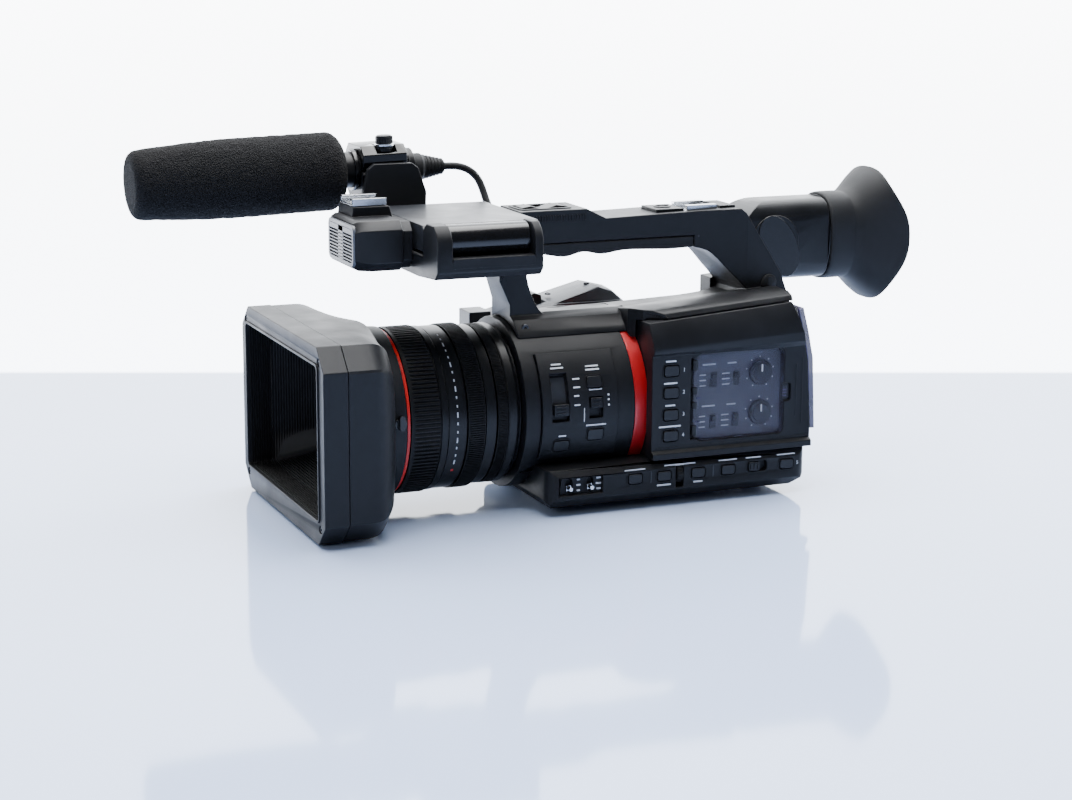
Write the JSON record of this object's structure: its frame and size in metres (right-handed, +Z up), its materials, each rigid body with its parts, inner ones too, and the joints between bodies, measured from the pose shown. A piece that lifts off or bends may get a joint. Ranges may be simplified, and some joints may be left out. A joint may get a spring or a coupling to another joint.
{
  "type": "handheld camcorder",
  "caption": "Handheld camcorder with square lens hood, lens rings, top handle, folding screen, tilting viewfinder, hand strap and a foam-covered shotgun microphone.",
  "frame": {"origin": "on the flat underside, in the middle of the tripod plate's width and under the lens axis plane", "axes": "+Z up, the lens looks along -Y, +X is the operator's left when behind the camera"},
  "size_m": [0.1975, 0.4544, 0.2105],
  "materials": {
    "charcoal_plastic": "fine textured charcoal plastic",
    "graphite_plastic": "smooth satin graphite plastic",
    "gray_plastic": "satin gray plastic",
    "black_plastic": "semi-gloss black plastic",
    "black_rubber": "matte moulded rubber",
    "red_band": "saturated red, fine brushed sheen",
    "chrome": "polished plate",
    "steel": "brushed plate",
    "lens_glass": "coated front element",
    "smoked_clear": "smoky clear plastic",
    "foam": "open-cell foam",
    "webbing": "padded nylon strap",
    "board": "circuit board and sensor package"
  },
  "bodies": {
    "body": {"hood_bezel": "charcoal_plastic", "hood_shell": "charcoal_plastic", "main_housing": "charcoal_plastic", "side_panel": "charcoal_plastic", "base_housing": "charcoal_plastic", "handle_frame": "charcoal_plastic", "front_mic_block": "charcoal_plastic", "lcd_tray": "charcoal_plastic", "mic_bracket": "charcoal_plastic", "grip_body": "charcoal_plastic", "barrel_housing": "charcoal_plastic", "control_panel": "charcoal_plastic", "lens_barrel": "black_plastic", "microphone": "black_plastic", "handle_pad": "black_rubber", "cable_plug": "black_rubber", "mic_cable": "black_rubber", "red_ring": "red_band", "accent_band": "red_band", "front_shoe": "chrome", "tripod_plate": "steel", "front_lens": "lens_glass", "windscreen": "foam", "hand_strap": "webbing", "sensor_block": "board"},
    "hood_lock_lever": {"hood_lock_lever": "graphite_plastic"},
    "focus_ring": {"focus_ring": "black_rubber"},
    "zoom_ring": {"zoom_ring": "black_rubber"},
    "iris_ring": {"iris_ring": "black_rubber"},
    "focus_assist_button": {"focus_assist_button": "graphite_plastic"},
    "push_auto_button": {"push_auto_button": "graphite_plastic"},
    "iris_button": {"iris_button": "graphite_plastic"},
    "nd_filter_slider": {"nd_filter_slider": "graphite_plastic"},
    "focus_mode_switch": {"focus_mode_switch": "graphite_plastic"},
    "user_button_1": {"user_button_1": "graphite_plastic"},
    "user_button_2": {"user_button_2": "graphite_plastic"},
    "user_button_3": {"user_button_3": "graphite_plastic"},
    "user_button_4": {"user_button_4": "graphite_plastic"},
    "shutter_button": {"shutter_button": "graphite_plastic"},
    "menu_button": {"menu_button": "graphite_plastic"},
    "exit_button": {"exit_button": "graphite_plastic"},
    "display_button": {"display_button": "graphite_plastic"},
    "slot_button": {"slot_button": "graphite_plastic"},
    "audio_level_knob_1": {"audio_level_knob_1": "graphite_plastic"},
    "audio_level_knob_2": {"audio_level_knob_2": "graphite_plastic"},
    "audio_cover": {"audio_cover": "smoked_clear"},
    "card_door": {"card_door": "smoked_clear"},
    "battery": {"battery": "gray_plastic"},
    "gain_switch": {"gain_switch": "graphite_plastic"},
    "white_balance_switch": {"white_balance_switch": "graphite_plastic"},
    "menu_dial": {"menu_dial": "graphite_plastic"},
    "auto_manual_switch": {"auto_manual_switch": "graphite_plastic"},
    "handle_zoom_rocker": {"handle_zoom_rocker": "gray_plastic"},
    "lcd_panel": {"lcd_panel": "gray_plastic"},
    "mic_clamp": {"mic_clamp": "black_plastic"},
    "mic_clamp_knob": {"mic_clamp_knob": "black_plastic"},
    "viewfinder": {"evf_tube": "charcoal_plastic", "eyecup": "black_rubber"},
    "grip_zoom_rocker": {"grip_zoom_rocker": "gray_plastic"},
    "record_button": {"record_button": "red_band"}
  },
  "joints": [
    {"name": "hood_lock_turn", "type": "hinge", "parent": "body", "child": "hood_lock_lever", "pos_m": [0.0516, -0.139, 0.0605], "axis": [1, 0, 0], "range_deg": [0, 45]},
    {"name": "focus_ring_turn", "type": "hinge", "parent": "body", "child": "focus_ring", "pos_m": [0, -0.1227, 0.057], "axis": [0, 1, 0], "continuous": true},
    {"name": "zoom_ring_turn", "type": "hinge", "parent": "body", "child": "zoom_ring", "pos_m": [0, -0.0922, 0.057], "axis": [0, 1, 0], "range_deg": [0, 75]},
    {"name": "iris_ring_turn", "type": "hinge", "parent": "body", "child": "iris_ring", "pos_m": [0, -0.076, 0.057], "axis": [0, 1, 0], "continuous": true},
    {"name": "focus_assist_press", "type": "slide", "parent": "body", "child": "focus_assist_button", "axis": [-0.9373, 0, -0.3486], "range_m": [0, 0.0007], "stiffness_N_per_m": 400},
    {"name": "push_auto_press", "type": "slide", "parent": "body", "child": "push_auto_button", "axis": [-0.9707, 0, 0.2402], "range_m": [0, 0.0007], "stiffness_N_per_m": 400},
    {"name": "iris_press", "type": "slide", "parent": "body", "child": "iris_button", "axis": [-0.9391, 0, 0.3437], "range_m": [0, 0.0007], "stiffness_N_per_m": 400},
    {"name": "nd_filter_slide", "type": "hinge", "parent": "body", "child": "nd_filter_slider", "pos_m": [0, -0.0429, 0.057], "axis": [0, -1, 0], "range_deg": [0, 17]},
    {"name": "focus_mode_slide", "type": "hinge", "parent": "body", "child": "focus_mode_switch", "pos_m": [0, -0.021, 0.057], "axis": [0, -1, 0], "range_deg": [-6, 0]},
    {"name": "user_1_press", "type": "slide", "parent": "body", "child": "user_button_1", "axis": [-1, 0, 0], "range_m": [0, 0.0007], "stiffness_N_per_m": 400},
    {"name": "user_2_press", "type": "slide", "parent": "body", "child": "user_button_2", "axis": [-1, 0, 0], "range_m": [0, 0.0007], "stiffness_N_per_m": 400},
    {"name": "user_3_press", "type": "slide", "parent": "body", "child": "user_button_3", "axis": [-1, 0, 0], "range_m": [0, 0.0007], "stiffness_N_per_m": 400},
    {"name": "user_4_press", "type": "slide", "parent": "body", "child": "user_button_4", "axis": [-1, 0, 0], "range_m": [0, 0.0007], "stiffness_N_per_m": 400},
    {"name": "shutter_press", "type": "slide", "parent": "body", "child": "shutter_button", "axis": [-1, 0, 0], "range_m": [0, 0.0007], "stiffness_N_per_m": 400},
    {"name": "menu_press", "type": "slide", "parent": "body", "child": "menu_button", "axis": [-1, 0, 0], "range_m": [0, 0.0007], "stiffness_N_per_m": 400},
    {"name": "exit_press", "type": "slide", "parent": "body", "child": "exit_button", "axis": [-1, 0, 0], "range_m": [0, 0.0007], "stiffness_N_per_m": 400},
    {"name": "display_press", "type": "slide", "parent": "body", "child": "display_button", "axis": [-1, 0, 0], "range_m": [0, 0.0007], "stiffness_N_per_m": 400},
    {"name": "slot_press", "type": "slide", "parent": "body", "child": "slot_button", "axis": [-1, 0, 0], "range_m": [0, 0.0007], "stiffness_N_per_m": 400},
    {"name": "audio_level_1_turn", "type": "hinge", "parent": "body", "child": "audio_level_knob_1", "pos_m": [0.0548, 0.083, 0.0739], "axis": [1, 0, 0], "range_deg": [-150, 150]},
    {"name": "audio_level_2_turn", "type": "hinge", "parent": "body", "child": "audio_level_knob_2", "pos_m": [0.0548, 0.083, 0.0499], "axis": [1, 0, 0], "range_deg": [-150, 150]},
    {"name": "audio_cover_swing", "type": "hinge", "parent": "body", "child": "audio_cover", "pos_m": [0.0572, 0.0386, 0.0623], "axis": [0, 0, -1], "range_deg": [0, 110]},
    {"name": "card_door_swing", "type": "hinge", "parent": "body", "child": "card_door", "pos_m": [0.0244, 0.1176, 0.0745], "axis": [0, 0, 1], "range_deg": [0, 90]},
    {"name": "battery_slide", "type": "slide", "parent": "body", "child": "battery", "axis": [0, 1, 0], "range_m": [0, 0.035]},
    {"name": "gain_switch_slide", "type": "slide", "parent": "body", "child": "gain_switch", "axis": [0, 0, 1], "range_m": [0, 0.0033]},
    {"name": "white_balance_slide", "type": "slide", "parent": "body", "child": "white_balance_switch", "axis": [0, 0, 1], "range_m": [0, 0.0033]},
    {"name": "menu_dial_turn", "type": "hinge", "parent": "body", "child": "menu_dial", "pos_m": [0.0558, 0.0288, 0.0185], "axis": [0, 1, 0], "continuous": true},
    {"name": "auto_manual_slide", "type": "slide", "parent": "body", "child": "auto_manual_switch", "axis": [0, 1, 0], "range_m": [0, 0.004]},
    {"name": "handle_zoom_rock", "type": "hinge", "parent": "body", "child": "handle_zoom_rocker", "pos_m": [0, -0.035, 0.1676], "axis": [1, 0, 0], "range_deg": [-6, 6], "stiffness_Nm_per_rad": 0.15},
    {"name": "lcd_hinge", "type": "hinge", "parent": "body", "child": "lcd_panel", "pos_m": [0.0585, -0.092, 0.1623], "axis": [0, 1, 0], "range_deg": [0, 180]},
    {"name": "mic_clamp_open", "type": "hinge", "parent": "body", "child": "mic_clamp", "pos_m": [-0.0793, -0.1127, 0.1886], "axis": [0, -0.9996, -0.0297], "range_deg": [0, 60]},
    {"name": "mic_clamp_knob_turn", "type": "hinge", "parent": "mic_clamp", "child": "mic_clamp_knob", "pos_m": [-0.053, -0.11143, 0.203], "axis": [0, -0.0297, 0.9996], "continuous": true},
    {"name": "evf_tilt", "type": "hinge", "parent": "body", "child": "viewfinder", "pos_m": [0, 0.11, 0.144], "axis": [1, 0, 0], "range_deg": [0, 60]},
    {"name": "grip_zoom_rock", "type": "hinge", "parent": "body", "child": "grip_zoom_rocker", "pos_m": [-0.0655, -0.021, 0.103], "axis": [1, 0, 0], "range_deg": [-5.5, 5.5], "stiffness_Nm_per_rad": 0.3},
    {"name": "record_press", "type": "slide", "parent": "body", "child": "record_button", "axis": [0, -1, 0], "range_m": [0, 0.0015], "stiffness_N_per_m": 500}
  ]
}
